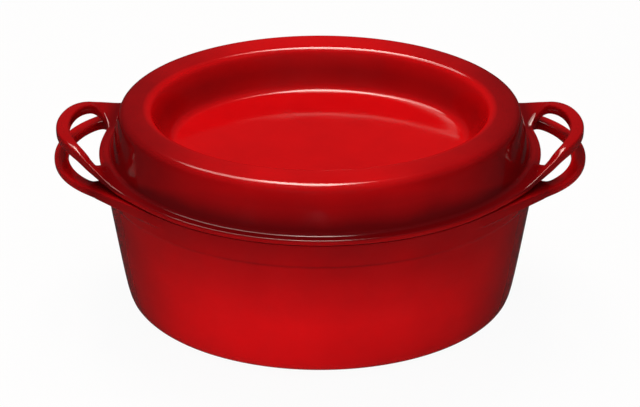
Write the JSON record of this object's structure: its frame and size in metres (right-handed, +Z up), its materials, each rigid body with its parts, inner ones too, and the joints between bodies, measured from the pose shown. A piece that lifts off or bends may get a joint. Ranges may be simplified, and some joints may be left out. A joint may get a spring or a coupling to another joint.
{
  "type": "oval dutch oven",
  "caption": "Oval enamelled cast-iron casserole with loop handles and a lift-off lid that has a deep well in its top and loop handles of its own.",
  "frame": {"origin": "middle of the pot's foot, on the surface that it stands on", "axes": "+X along the oval through both loop handles, +Z up, +Y away from a viewer who faces the long side"},
  "size_m": [0.3856, 0.252, 0.1625],
  "materials": {
    "red_enamel": "gloss",
    "black_enamel": "satin"
  },
  "bodies": {
    "pot": {"pot": "red_enamel", "pot_lining": "black_enamel"},
    "lid": {"lid": "red_enamel", "lid_lining": "black_enamel"}
  },
  "joints": [
    {"name": "lid_lift", "type": "slide", "parent": "pot", "child": "lid", "axis": [0, 0, 1], "range_m": [0, 0.12]}
  ]
}
